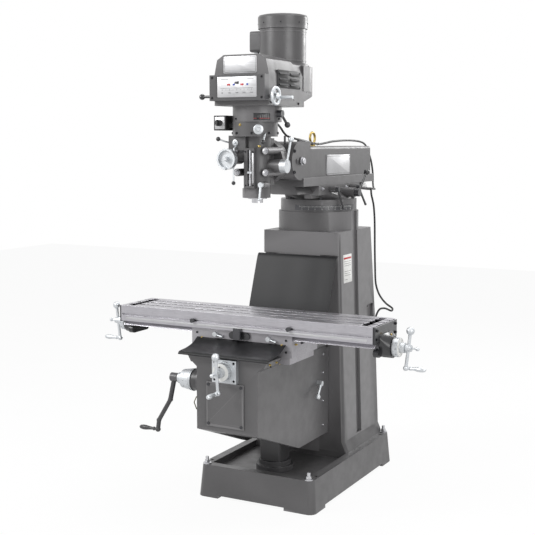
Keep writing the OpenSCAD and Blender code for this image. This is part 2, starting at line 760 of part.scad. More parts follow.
module ram_casting() color(enamel) difference() {
    union() {
        // body with rounded upper edges
        translate([0, ram_back, 0]) rotate([90, 0, 0]) linear_extrude(ram_l) hull() {
            translate([-ram_hw, ram_z - 1]) square([2 * ram_hw, 20]);
            for (x = [-1, 1]) translate([x * (ram_hw - 16), ram_z + ram_h - 14]) circle(r = 14, $fn = 24);
        }
        block([-ram_flange_hw, ram_front - 82, ram_flange_z],
              [ram_flange_hw, ram_back + 22, ram_flange_z + ram_flange_h]);
        prism_y(ram_front - 82, ram_back + 22, dovetail(
            ram_dove_hw, (ram_dove_h - 1) * tan(30), ram_flange_z + 1, turret_top - ram_dove_h + gap));
        // front block with two round cheeks
        rod_x(-cheek_hw, cheek_hw, pivot_y, pivot_z, cheek_r, 96);
        block([-cheek_hw, pivot_y, pivot_z - cheek_r], [cheek_hw, ram_front, pivot_z + cheek_r]);
    }
    // slot between the cheeks
    block([-slot_hw, -400, 1400], [slot_hw, pivot_y, 1700]);
    rod_x(-slot_hw, slot_hw, pivot_y, pivot_z, knuckle_r + 4, 96);
    block([-slot_hw, pivot_y - 1, pivot_z], [slot_hw, pivot_y + knuckle_r + 4, 1700]);
    rod_x(-cheek_hw - 1, cheek_hw + 1, pivot_y, pivot_z, pin_r + fit);
    // hollow, open through a slot underneath
    block([-ram_hw + 24, ram_front + 60, ram_z + 10], [ram_hw - 24, ram_back - 24, ram_z + ram_h - 24]);
    block([-42, ram_front + 60, turret_top - 60], [42, ram_back - 60, ram_z + 11]);
    rod_z(ram_z + ram_h - 22, ram_z + ram_h + 1, 0, 128, 8 + fit);
}

module lifting_eye() color(brass) {
    translate([0, 128, ram_z + ram_h + 40]) rotate([0, 90, 0])
        rotate_extrude($fn = 48) translate([27, 0]) circle(r = 6, $fn = 24);
    rod_z(ram_z + ram_h, ram_z + ram_h + 16, 0, 128, 13);
    rod_z(ram_z + ram_h - 20, ram_z + ram_h + 1, 0, 128, 8);
}

// Joint between ram and head: it nods on the pin, and the head tilts on its flange
module knuckle() color(enamel) difference() {
    union() {
        rod_x(-slot_hw + 0.5, slot_hw - 0.5, pivot_y, pivot_z, knuckle_r, 96);
        block([-slot_hw + 0.5, -340, pivot_z - 66], [slot_hw - 0.5, pivot_y, pivot_z + 66]);
        rod_y(knuckle_face, knuckle_face + 26, 0, pivot_z, flange_r, 96);
        rod_x(-cheek_hw - 8, cheek_hw + 8, pivot_y, pivot_z, pin_r);
        rod_z(1640, 1695.5, 50, -268, 5, 32);
    }
    rod_y(knuckle_face - 1, knuckle_face + 60, 0, pivot_z, 30 + fit);
}

// ---------------------------------------------------------------- head

boss_x = 72;
boss_dz = 48;
boss_front = -497;
stop_low = collar_low + 54;
stop_high = stop_low + quill_travel + 32;
module head_casting() color(enamel) difference() {
    union() {
        rod_y(knuckle_face - gap - head_flange_t, knuckle_face - gap, 0, pivot_z, flange_r, 96);
        rod_y(knuckle_face - gap - 1, knuckle_face + 50, 0, pivot_z, 30);
        block([-56, spindle_y, 1474], [56, knuckle_face - gap - head_flange_t + 1, 1684]);
        rod_z(collar_low + 42, ring_low + 1, 0, spindle_y, housing_r, 64);
        rod_z(collar_low, collar_low + 42, -4, spindle_y, housing_r + 2, 64);
        rod_z(ring_low, gear_low, -8, spindle_y - 4, ring_r, 64);
        rod_z(gear_low, gear_top, 0, spindle_y, gear_r, 64);
        for (x = [-boss_x, boss_x], z = [-boss_dz, boss_dz])
            rod_y(boss_front, knuckle_face - gap - 2, x, pivot_z + z, 17);
        // feed drive at the left
        block([-106, spindle_y - 72, 1630], [-20, spindle_y, ring_low + 4]);
        rod_y(spindle_y - 104, spindle_y, fine_x, fine_z, 24);
        block([fine_x - 16, spindle_y - 60, fine_z - 10], [-30, spindle_y, 1640]);
        // pinion housing of the coarse feed
        rod_x(40, 118, coarse_y, coarse_z, 30);
        // face of the depth stop
        block([-24, spindle_y - 76, collar_low + 44], [26, spindle_y - 40, 1640]);
        // boss of the range lever
        rod_x(70, gear_r + 2, lever_y, 1790, 16);
        // clamp boss of the quill lock
        rod_y(spindle_y - 52, spindle_y, 51, 1478, 15);
        block([14, spindle_y - 40, 1464], [51, spindle_y, 1492]);
    }
    rod_z(collar_low - 1, ring_low + 20, 0, spindle_y, quill_r + fit, 96);
    rod_z(ring_low, gear_top + 1, 0, spindle_y, 24.2, 64);
    // slot in which the stop's block runs
    block([-8, spindle_y - 77, stop_low], [10, spindle_y - 62, stop_high]);
    rod_x(90, 119, coarse_y, coarse_z, 12 + fit);
    rod_y(spindle_y - 105, spindle_y - 80, fine_x, fine_z, 9 + fit);
    rod_y(spindle_y - 53, spindle_y - 30, 51, 1478, 7 + fit);
    rod_x(gear_r - 16, gear_r + 3, lever_y, 1790, 7 + fit);
}

// Hood over the variable-speed belt drive
module belt_plan(inset) hull() {
    translate([-belt_hw + inset, belt_front + inset]) square([2 * (belt_hw - inset), 200]);
    translate([0, motor_y]) circle(r = belt_back_r - inset, $fn = 96);
}

module belt_housing() color(enamel) difference() {
    union() {
        intersection() {
            translate([0, 0, gear_top]) linear_extrude(hood_top - gear_top) belt_plan(0);
            // side view: high at the front, lower under the motor, cut up at the back
            prism_x(-200, 200, [
                [belt_front, gear_top], [belt_front, hood_top], [-384, hood_top - 8], [-332, belt_top],
                [0, belt_top], [0, 1905], [motor_y + belt_back_r, 1905], [-242, gear_top + 24],
                [-242, gear_top]]);
            // front view: rounded shoulders
            prism_y(-700, 0, [
                [-belt_hw, gear_top], [-belt_hw, 1958], [-121, 2020], [-88, hood_top],
                [88, hood_top], [121, 2020], [belt_hw, 1958], [belt_hw, gear_top]]);
        }
        translate([0, 0, 1895]) linear_extrude(belt_top - 1895) intersection() {
            belt_plan(0);
            translate([-200, motor_y - 60]) square([400, 300]);
        }
    }
    // hollow for the pulleys and the belt, reached from below through the spindle's hole
    intersection() {
        translate([0, 0, gear_top + 10]) linear_extrude(belt_top - gear_top - 20) belt_plan(10);
        prism_x(-200, 200, [
            [belt_front, gear_top + 10], [belt_front, 1990], [0, 1990], [0, 1915],
            [motor_y + belt_back_r - 6, 1915], [-252, gear_top + 36], [-252, gear_top + 10]]);
    }
    rod_z(gear_top - 1, gear_top + 20, 0, spindle_y, 30);
    rod_x(belt_hw - 20, belt_hw + 1, wheel_y + 10, wheel_z, 9 + fit);
}

module speed_panel() color(dark_enamel) difference() {
    block([-136, panel_front, 1844], [136, belt_front, 1954]);
    block([-98, panel_front - 1, 1857], [98, panel_front + 2, 1947]);
    for (x = [-122, 122], z = [1856, 1942]) rod_y(panel_front - 1, panel_front + 6, x, z, 6);
    rod_x(-137, -100, -604, wheel_z, 6 + fit);
}

motor_top = belt_top + motor_h;
module motor() color(enamel) {
    rod_z(belt_top, belt_top + 14, 0, motor_y, motor_r + 8, 96);
    rod_z(belt_top + 14, motor_top, 0, motor_y, motor_r, 96);
}

module fan_cover() color(enamel) difference() {
    translate([0, motor_y, motor_top]) rotate_extrude($fn = 96) polygon([
        [0, 0], [motor_r + 7, 0], [motor_r + 8, 52], [motor_r + 4, 60], [motor_r - 12, 64], [0, 64]]);
    rod_z(motor_top + 4, motor_top + 58, 0, motor_y, motor_r + 3, 96);
    // vents in the top
    for (a = [0 : 30 : 330]) translate([0, motor_y, 0]) rotate([0, 0, a])
        block([38, -5, motor_top + 50], [82, 5, motor_top + 70]);
}

module terminal_box() color(dark_enamel) difference() {
    union() {
        translate([0, -196, 0]) hull() for (y = [-24, 24], z = [motor_top - 88, motor_top - 16])
            rod_x(-152, -90, y, z, 12, 24);
        rod_x(-125, -90, -196, motor_top - 47, 34);
    }
    rod_z(belt_top, motor_top + 10, 0, motor_y, motor_r + 0.1, 96);
}

module switch_box() color(black) difference() {
    union() {
        block([-178, -520, 1718], [-116, -424, 1784]);
        block([-118, -490, 1730], [-70, -430, 1750]);
    }
    rod_z(ring_low, gear_low, -8, spindle_y - 4, ring_r + 0.1, 64);
}

// Screwed rod in front of the quill, with its stop nuts
module depth_stop() color(steel) {
    rod_z(stop_low, stop_high, 1, spindle_y - 69, 5, 32);
    rod_z(stop_low + 12, stop_low + 26, 1, spindle_y - 69, 6.8, 32);
}

module quill() color(steel) difference() {
    rod_z(quill_low, 1650, 0, spindle_y, quill_r, 96);
    rod_z(quill_low - 1, 1651, 0, spindle_y, 22.06, 64);
}

module spindle() color(silver) difference() {
    union() {
        rod_z(nose_z, quill_low - gap, 0, spindle_y, 25, 64);
        rod_z(quill_low - 1, 1960, 0, spindle_y, 22, 64);
        rod_z(1960, 1975, 0, spindle_y, 10, 6);
    }
    rod_z(nose_z - 1, nose_z + 100, 0, spindle_y, 12.05, 64);
    translate([0, spindle_y, nose_z - 0.01]) cylinder(r1 = 15.9, r2 = 12.05, h = 23);
}

module coarse_feed_lever() color(silver) {
    rod_x(92, 126, coarse_y, coarse_z, 12);
    rod_x(118.3, 146, coarse_y, coarse_z, 31);
    bar([140, coarse_y, coarse_z], [160, coarse_y + 6, coarse_z + 118], 5.5);
    ball([160, coarse_y + 6, coarse_z + 118], 13);
}

module fine_feed_wheel() color(silver) {
    y = spindle_y - 104;
    rod_y(y - 12, y + 22, fine_x, fine_z, 9);
    difference() {
        rod_y(y - 26, y - gap, fine_x, fine_z, 46, 64);
        rod_y(y - 27, y - 12, fine_x, fine_z, 38, 64);
    }
    rod_y(y - 34, y - 12, fine_x, fine_z, 12);
    rod_y(y - 40, y - 20, fine_x, fine_z - 42, 6);
}

module speed_handwheel() color(silver) {
    x = belt_hw + 12;
    y = wheel_y + 10;
    rod_x(belt_hw - 19, x + 22, y, wheel_z, 9);
    translate([x + 12, y, wheel_z]) rotate([0, 90, 0])
        rotate_extrude($fn = 64) translate([35, 0]) circle(r = 7, $fn = 24);
    for (a = [30, 150, 270]) rotate_about_x(a, y, wheel_z)
        bar([x + 10, y, wheel_z], [x + 12, y, wheel_z + 33], 5);
    rod_x(x + 2, x + 22, y, wheel_z, 14);
    rod_x(x + 12, x + 76, y + 35, wheel_z - 6, 7);
}

module rotate_about_x(a, y, z) translate([0, y, z]) rotate([a, 0, 0]) translate([0, -y, -z]) children();

module quill_lock_lever() color(silver) {
    rod_y(spindle_y - 66, spindle_y - 31, 51, 1478, 7);
    rod_y(spindle_y - 68, spindle_y - 52.3, 51, 1478, 12);
    bar([51, spindle_y - 62, 1478], [50, spindle_y - 74, 1414], 5);
    ball([50, spindle_y - 74, 1414], 7);
}

// High and low range lever at the gear housing's right
module gear_lever() color(black) {
    rod_x(gear_r - 15, gear_r + 3, lever_y, 1790, 7);
    rod_x(gear_r + 2.3, gear_r + 26, lever_y, 1790, 16);
    bar([gear_r + 18, lever_y, 1790], [gear_r + 32, lever_y + 34, 1742], 6);
    ball([gear_r + 32, lever_y + 34, 1742], 13);
}

module switch_knob() color(black) {
    rod_y(-540, -520.3, -147, 1751, 14);
    block([-151, -550, 1739], [-143, -538, 1763]);
}

module panel_lever() color(black) translate([-101, -604, wheel_z]) rotate([0, -90, 0])
    rotate_extrude($fn = 32) polygon(concat(
        [[0, 0], [6, 0], [6, 73.2]], [for (a = [28 : 8 : 172]) [13 * sin(a), 85 - 13 * cos(a)]], [[0, 98]]));

// ---------------------------------------------------------------- cable

module head_cable() color(black) cable(cable_head, 1);
module knuckle_cable() color(black) cable(cable_knuckle, 1);
module ram_cable() color(black) cable(cable_ram, 2);
module column_cable() color(black) cable(cable_column, 2);

base_casting();
levelling_screws();
column_casting();
elevating_pedestal();
rear_way_guard();
knee_casting();
knee_front_cover();
cover_screws();
cross_feed_bracket();
lift_shaft_housing();
front_way_guard();
oil_tube();
elevating_screw();
knee_crank();
lift_dial();
cross_screw();
cross_handle();
cross_dial();
knee_lock_lever();
saddle_casting();
table_stop_bracket();
table_lock_left();
table_lock_right();
table_casting();
right_end_bracket();
left_end_bracket();
table_stops();
table_screw();
right_handle();
left_handle();
table_dials();
turret_casting();
degree_band();
front_ram_lock();
rear_ram_lock();
ram_pinion_lever();
ram_casting();
lifting_eye();
knuckle();
head_casting();
belt_housing();
speed_panel();
motor();
fan_cover();
terminal_box();
switch_box();
depth_stop();
quill();
spindle();
coarse_feed_lever();
fine_feed_wheel();
speed_handwheel();
quill_lock_lever();
gear_lever();
switch_knob();
panel_lever();
head_cable();
knuckle_cable();
ram_cable();
column_cable();
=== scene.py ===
import math

import bmesh
import bpy
from mathutils import Matrix, Vector, noise


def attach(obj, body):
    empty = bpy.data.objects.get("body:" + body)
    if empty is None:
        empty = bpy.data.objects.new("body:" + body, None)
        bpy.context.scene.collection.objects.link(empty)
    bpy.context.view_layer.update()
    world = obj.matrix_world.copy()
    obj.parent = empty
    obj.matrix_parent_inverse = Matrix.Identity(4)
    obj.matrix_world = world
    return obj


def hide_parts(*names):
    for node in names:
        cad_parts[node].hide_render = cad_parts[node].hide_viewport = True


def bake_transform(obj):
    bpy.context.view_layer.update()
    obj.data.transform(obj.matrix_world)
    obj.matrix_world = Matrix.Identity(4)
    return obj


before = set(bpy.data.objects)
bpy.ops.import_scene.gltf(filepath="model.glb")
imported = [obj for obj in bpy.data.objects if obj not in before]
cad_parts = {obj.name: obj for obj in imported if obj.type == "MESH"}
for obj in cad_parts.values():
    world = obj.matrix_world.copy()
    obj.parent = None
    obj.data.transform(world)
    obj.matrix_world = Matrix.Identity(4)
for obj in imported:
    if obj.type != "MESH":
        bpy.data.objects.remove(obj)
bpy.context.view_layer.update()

MM = 0.001
X, Y, Z = (1, 0, 0), (0, 1, 0), (0, 0, 1)
NEG_X, NEG_Y = (-1, 0, 0), (0, -1, 0)


# ---------------------------------------------------------------- camera

def add_camera():
    data = bpy.data.cameras.new("camera")
    data.lens = 70.9
    data.sensor_width = 36
    camera = bpy.data.objects.new("camera", data)
    bpy.context.scene.collection.objects.link(camera)
    azimuth, elevation = math.radians(28.05), math.radians(6.82)
    forward = Vector((-math.sin(azimuth) * math.cos(elevation),
                      math.cos(azimuth) * math.cos(elevation), -math.sin(elevation)))
    camera.location = (2.2683, -4.6007, 1.6692)
    camera.rotation_euler = forward.to_track_quat("-Z", "Y").to_euler()
    bpy.context.scene.camera = camera


add_camera()


# ---------------------------------------------------------------- materials

class Nodes:
    """A material's node tree, with short ways to add and join nodes."""

    def __init__(self, name):
        self.material = bpy.data.materials.new(name)
        self.material.use_nodes = True
        self.tree = self.material.node_tree
        self.shader = self.tree.nodes["Principled BSDF"]
        self.place = self.tree.nodes.new("ShaderNodeTexCoord").outputs["Object"]

    def add(self, kind, inputs=(), **settings):
        node = self.tree.nodes.new("ShaderNode" + kind)
        for key, value in settings.items():
            setattr(node, key, value)
        for key, value in dict(inputs).items():
            if isinstance(value, bpy.types.NodeSocket):
                self.tree.links.new(value, node.inputs[key])
            else:
                node.inputs[key].default_value = value
        return node

    def noise(self, scale, detail=2.0, stretch=None, rough=0.5):
        place = self.place
        if stretch:
            place = self.add("Mapping", {"Vector": place, "Scale": stretch}).outputs[0]
        return self.add("TexNoise", {"Vector": place, "Scale": scale, "Detail": detail,
                                     "Roughness": rough}).outputs["Fac"]

    def range(self, value, low, high, start=0.3, end=0.7):
        return self.add("MapRange", {"Value": value, "From Min": start, "From Max": end,
                                     "To Min": low, "To Max": high}).outputs[0]

    def mix(self, factor, a, b):
        node = self.add("Mix", data_type="RGBA")
        for key, value in ((0, factor), (6, a), (7, b)):
            if isinstance(value, bpy.types.NodeSocket):
                self.tree.links.new(value, node.inputs[key])
            else:
                node.inputs[key].default_value = value if key == 0 else (*value, 1)
        return node.outputs[2]

    def bump(self, height, distance, strength=1.0, normal=None):
        inputs = {"Height": height, "Distance": distance, "Strength": strength}
        if normal:
            inputs["Normal"] = normal
        return self.add("Bump", inputs).outputs[0]

    def edge(self, low, high):
        """1 on worn convex edges and 0 elsewhere."""
        point = self.add("NewGeometry").outputs["Pointiness"]
        return self.range(point, 0.0, 1.0, low, high)

    def set(self, **values):
        for key, value in values.items():
            socket = self.shader.inputs[key.replace("_", " ")]
            if isinstance(value, bpy.types.NodeSocket):
                self.tree.links.new(value, socket)
            else:
                socket.default_value = value
        return self.material


def shade(colour, k):
    return tuple(min(1.0, c * k) for c in colour)


def enamel(name, colour, rough=0.38, cast=0.35):
    """Satin enamel on a filled and rubbed casting."""
    n = Nodes(name)
    patch = n.noise(5.0, 3.0)
    colour_1 = n.mix(n.range(patch, 0, 1), shade(colour, 0.88), shade(colour, 1.1))
    speck = n.noise(900.0, 1.0)
    colour_2 = n.mix(n.range(speck, 0, 0.35, 0.55, 0.75), colour_1, shade(colour, 1.5))
    worn = n.mix(n.edge(0.53, 0.6), colour_2, shade(colour, 1.9))
    wave = n.bump(n.noise(14.0, 2.0), 0.0016, cast)
    skin = n.bump(n.noise(330.0, 2.0), 0.0002, 0.5, wave)
    return n.set(Base_Color=worn, Roughness=n.range(n.noise(22.0, 3.0), rough - 0.06, rough + 0.1),
                 Normal=skin, Coat_Weight=0.1, Coat_Roughness=0.3)


def ground(name, colour, stretch, rough=0.3, metal=1.0, depth=0.00005):
    """Machined metal with fine tool marks; `stretch` is small along them."""
    n = Nodes(name)
    lines = n.noise(420.0, 2.0, stretch)
    broad = n.noise(9.0, 3.0)
    colour_1 = n.mix(n.range(lines, 0, 1), shade(colour, 0.86), shade(colour, 1.12))
    colour_2 = n.mix(n.range(broad, 0, 0.35), colour_1, shade(colour, 0.78))
    stain = n.mix(n.range(n.noise(60.0, 4.0), 0, 0.3, 0.58, 0.8), colour_2, shade(colour, 0.55))
    return n.set(Base_Color=stain, Metallic=metal, Normal=n.bump(lines, depth, 0.7),
                 Roughness=n.range(broad, rough - 0.05, rough + 0.12))


def plain(name, colour, rough, metal=0.0, fine=500.0, depth=0.0001, coat=0.0, edge=1.5):
    """Moulded, painted, plated or rubber surface with fine grain and rubbed edges."""
    n = Nodes(name)
    tone = n.mix(n.range(n.noise(18.0, 3.0), 0, 1), shade(colour, 0.85), shade(colour, 1.15))
    rubbed = n.mix(n.edge(0.54, 0.64), tone, shade(colour, edge))
    grain = n.noise(fine, 2.0)
    return n.set(Base_Color=rubbed, Metallic=metal, Coat_Weight=coat,
                 Roughness=n.range(n.noise(30.0, 2.0), rough - 0.05, rough + 0.08),
                 Normal=n.bump(grain, depth, 0.6))


def sheet_rubber(name, colour, rough):
    """Smooth rubber sheet with a faint dusty bloom and a very fine grain."""
    n = Nodes(name)
    bloom = n.mix(n.range(n.noise(4.0, 2.0), 0, 1), shade(colour, 0.8), shade(colour, 1.5))
    return n.set(Base_Color=bloom, Roughness=rough, Normal=n.bump(n.noise(900.0, 1.0), 0.00001, 0.3),
                 Specular_IOR_Level=0.25)


ENAMEL = (0.082, 0.080, 0.082)
LOOKS = {
    "grey_enamel": enamel("cast_enamel", ENAMEL),
    "cover": enamel("cover_enamel", shade(ENAMEL, 1.03), 0.33, 0.12),
    "dark_enamel": enamel("dark_enamel", (0.045, 0.044, 0.046), 0.4, 0.2),
    "machined": ground("machined_iron", (0.46, 0.45, 0.48), (0.05, 1, 1), 0.3, 0.9),
    "saddle": ground("scraped_iron", (0.36, 0.35, 0.37), (1, 0.3, 1), 0.42, 0.75),
    "steel": ground("turned_steel", (0.56, 0.56, 0.58), (1, 1, 0.06), 0.24),
    "chrome": ground("satin_chrome", (0.62, 0.64, 0.66), (1, 1, 1), 0.42, 0.85, 0.00003),
    "plate": ground("bare_plate", (0.50, 0.50, 0.51), (0.04, 1, 1), 0.42, 0.7, 0.00002),
    "black": plain("black_gloss", (0.014, 0.014, 0.016), 0.3, coat=0.3, edge=3.0),
    "oxide": plain("black_oxide", (0.02, 0.02, 0.022), 0.4, 0.6, edge=3.5),
    "plastic": plain("black_plastic", (0.012, 0.012, 0.013), 0.5, depth=0.0002, edge=2.0),
    "rubber": sheet_rubber("black_rubber", (0.010, 0.010, 0.011), 0.45),
    "sheath": plain("cable_sheath", (0.011, 0.011, 0.012), 0.45, edge=1.2),
    "brass": plain("plated_brass", (0.42, 0.31, 0.10), 0.34, 0.85, fine=260.0, edge=1.5),
    "oil": plain("oil_line", (0.10, 0.09, 0.03), 0.3, edge=1.2),
    "white": plain("white_print", (0.75, 0.75, 0.73), 0.5, edge=1.0),
    "print": plain("black_print", (0.015, 0.015, 0.015), 0.5, edge=1.0),
    "red": plain("red_print", (0.45, 0.02, 0.02), 0.4, edge=1.1),
    "blue": plain("blue_print", (0.03, 0.06, 0.35), 0.4, edge=1.1),
}
NODE_LOOKS = {
    "grey_enamel": "base_casting column_casting knee_casting turret_casting ram_casting "
                   "knuckle head_casting",
    "cover": "knee_front_cover belt_housing motor fan_cover",
    "dark_enamel": "elevating_pedestal lift_shaft_housing knee_crank speed_panel terminal_box",
    "machined": "table_casting",
    "saddle": "saddle_casting",
    "steel": "levelling_screws elevating_screw cross_screw table_screw depth_stop quill spindle",
    "chrome": "lift_dial cross_handle cross_dial cross_feed_bracket knee_lock_lever "
              "table_lock_left table_lock_right right_handle left_handle table_dials "
              "coarse_feed_lever fine_feed_wheel speed_handwheel quill_lock_lever",
    "black": "right_end_bracket left_end_bracket table_stop_bracket table_stops degree_band "
             "front_ram_lock rear_ram_lock ram_pinion_lever gear_lever panel_lever",
    "oxide": "cover_screws",
    "plastic": "switch_box switch_knob",
    "brass": "lifting_eye",
    "oil": "oil_tube",
}
BEVELS = {
    "base_casting": 5, "column_casting": 5, "knee_casting": 4, "turret_casting": 2,
    "ram_casting": 4, "knuckle": 1.5, "belt_housing": 5, "knee_front_cover": 1.5,
    "speed_panel": 3, "saddle_casting": 1.5, "table_casting": 0.8, "right_end_bracket": 2,
    "left_end_bracket": 2, "switch_box": 3, "terminal_box": 2, "cross_feed_bracket": 1.5,
    "elevating_pedestal": 2,
}


def finish_nodes():
    """Gives every CAD node its material, and the castings rounded edges."""
    for look, names in NODE_LOOKS.items():
        for name in names.split():
            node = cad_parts[name]
            node.data.materials.clear()
            node.data.materials.append(LOOKS[look])
    for name, width in BEVELS.items():
        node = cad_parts[name]
        weld = node.modifiers.new("weld", "WELD")
        weld.merge_threshold = 0.00001
        flat = node.modifiers.new("flat", "DECIMATE")
        flat.decimate_type = "DISSOLVE"
        flat.angle_limit = math.radians(0.6)
        bevel = node.modifiers.new("bevel", "BEVEL")
        bevel.width = width * MM
        bevel.segments = 2
        bevel.limit_method = "ANGLE"
        bevel.angle_limit = math.radians(38)
        bevel.harden_normals = False
        normals = node.modifiers.new("normals", "WEIGHTED_NORMAL")
        normals.weight = 80


finish_nodes()


# ---------------------------------------------------------------- building pieces

def frame_at(at, axis, up=None):
    """A matrix whose origin is `at` and whose Z is `axis`; `up` turns its Y."""
    z = Vector(axis).normalized()
    y = Vector(up) if up else (Vector(Z) if abs(z.z) < 0.9 else Vector(Y))
    y = (y - z * y.dot(z)).normalized()
    x = y.cross(z)
    turn = Matrix((x, y, z)).transposed().to_4x4()
    return Matrix.Translation(Vector(at)) @ turn


def hexagon(angle):
    """How far a hexagon's side is from its centre, for a corner radius of 1."""
    return math.cos(math.pi / 6) / math.cos((angle + math.pi / 6) % (math.pi / 3) - math.pi / 6)


LETTER_HEIGHT = 0.25  # how far letters stand up, in millimetres


class Kit:
    """Small parts in one material on one body, which make one piece. Sizes are millimetres."""

    def __init__(self, name, body, look):
        self.name, self.body, self.look = name, body, look
        self.mesh = bmesh.new()

    def rings(self, rings):
        """Joins rings of points, each with as many points, and caps both ends."""
        rows = [[self.mesh.verts.new(Vector(p) * MM) for p in ring] for ring in rings]
        count = len(rows[0])
        for low, high in zip(rows, rows[1:]):
            for i in range(count):
                j = (i + 1) % count
                self.mesh.faces.new((low[i], low[j], high[j], high[i]))
        self.mesh.faces.new(rows[0][::-1])
        self.mesh.faces.new(rows[-1])

    def lathe(self, at, axis, profile, sides=24):
        """Turns (radius, height) points round an axis; a third value of 1 makes a hexagon."""
        place = frame_at(at, axis)
        rings = []
        for point in profile:
            ring = []
            for k in range(sides):
                a = math.tau * k / sides
                r = point[0] * (hexagon(a) if len(point) > 2 else 1)
                ring.append(place @ Vector((r * math.cos(a), r * math.sin(a), point[1])))
            rings.append(ring)
        self.rings(rings)

    def plate(self, at, axis, size, up=None, radius=3.0, edge=0.6, low=0.0):
        """A plate with round corners and a bevelled face, standing on the plane at `at`."""
        place = frame_at(at, axis, up)
        w, h, t = size

        def outline(inset, z):
            r = max(radius - inset, 0.05)
            points = []
            for quarter, (sx, sy) in enumerate(((1, 1), (-1, 1), (-1, -1), (1, -1))):
                for k in range(5):
                    a = math.pi / 2 * (quarter + k / 4)
                    points.append(place @ Vector((
                        sx * (w / 2 - inset - r) + r * math.cos(a),
                        sy * (h / 2 - inset - r) + r * math.sin(a), z)))
            return points

        self.rings([outline(0, low), outline(0, t - edge), outline(edge * 0.4, t - edge * 0.35),
                    outline(edge, t)])

    def socket_screw(self, at, axis, r=5.0, h=4.5):
        self.lathe(at, axis, [(r * 0.9, -1.0), (r, 0), (r, h - 0.5), (r - 0.5, h),
                              (r * 0.58, h, 1), (r * 0.58, h * 0.4, 1), (r * 0.05, h * 0.35, 1)])

    def hex_nut(self, at, axis, r=9.0, h=8.0, stud=4.0):
        self.lathe(at, axis, [(r * 1.25, 0), (r * 1.25, 1.6), (r, 1.6, 1), (r, h, 1),
                              (stud, h + 0.3), (stud, h + 4), (stud * 0.7, h + 5)])

    def knob(self, at, axis, r, h, waist=0.5):
        self.lathe(at, axis, [(r * waist, 0), (r * waist, h * 0.35), (r * 0.92, h * 0.45),
                              (r, h * 0.55), (r, h * 0.9), (r * 0.9, h), (r * 0.1, h * 1.01)])

    def ball(self, at, r):
        arc = [(r * math.sin(math.pi * k / 12), -r * math.cos(math.pi * k / 12)) for k in range(13)]
        self.lathe(at, Z, [(max(a, r * 0.02), b) for a, b in arc], 20)

    def tube(self, points, r, sides=10):
        """A round tube through points."""
        rings = []
        across = None
        for i, p in enumerate(points):
            along = (Vector(points[min(i + 1, len(points) - 1)])
                     - Vector(points[max(i - 1, 0)])).normalized()
            if across is None:
                across = along.orthogonal().normalized()
            across = (across - along * across.dot(along)).normalized()
            other = along.cross(across)
            rings.append([Vector(p) + r * (math.cos(math.tau * k / sides) * across
                                           + math.sin(math.tau * k / sides) * other)
                          for k in range(sides)])
        self.rings(rings)

    def text(self, words, at, axis, up, size):
        curve = bpy.data.curves.new("words", "FONT")
        curve.body = words
        curve.size = size * MM
        curve.align_x = curve.align_y = "CENTER"
        curve.extrude = LETTER_HEIGHT * MM / 2
        curve.resolution_u = 3
        holder = bpy.data.objects.new("words", curve)
        bpy.context.scene.collection.objects.link(holder)
        drawn = bpy.data.meshes.new_from_object(
            holder.evaluated_get(bpy.context.evaluated_depsgraph_get()))
        place = frame_at(Vector(at) * MM, axis, up)
        drawn.transform(place)
        self.mesh.from_mesh(drawn)
        bpy.data.objects.remove(holder)
        bpy.data.curves.remove(curve)
        bpy.data.meshes.remove(drawn)

    def done(self, smooth=38):
        mesh = bpy.data.meshes.new(self.name)
        limit = math.radians(smooth)
        bmesh.ops.recalc_face_normals(self.mesh, faces=self.mesh.faces)
        for face in self.mesh.faces:
            face.smooth = True
        for edge in self.mesh.edges:
            if len(edge.link_faces) == 2 and edge.calc_face_angle(0) > limit:
                edge.smooth = False
        self.mesh.to_mesh(mesh)
        self.mesh.free()
        mesh.materials.append(LOOKS[self.look])
        piece = bpy.data.objects.new(self.name, mesh)
        bpy.context.scene.collection.objects.link(piece)
        if self.body:
            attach(piece, self.body)
        return piece


def dial_marks(name, body, centre, axis, r0, r1, width, count, numbers, size):
    """Ticks and numbers round a dial. r0 is its radius at `centre`, r1 at the far end."""
    kit = Kit(name, body, "print")
    place = frame_at(centre, axis)
    slope = Vector((1, 0, (r0 - r1) / width)).normalized()
    for k in range(count):
        a = math.tau * k / count
        turn = place @ Matrix.Rotation(a, 4, "Z")
        out = (turn.to_3x3() @ slope).normalized()
        long = 0.42 if k % 10 == 0 else 0.3 if k % 5 == 0 else 0.18
        length = width * long
        mid = length / 2 + 0.4
        r = r0 + (r1 - r0) * mid / width
        kit.plate(turn @ Vector((r, 0, mid)), out, (0.55, length, 0.22),
                  up=place.to_3x3() @ Vector(Z), radius=0.1, edge=0.08, low=-0.15)
        if k % numbers == 0:
            mid = width * 0.68
            r = r0 + (r1 - r0) * mid / width
            kit.text(str(k), turn @ Vector((r + 0.05, 0, mid)), out,
                     place.to_3x3() @ Vector(Z), size)
    kit.done()


# ---------------------------------------------------------------- cords

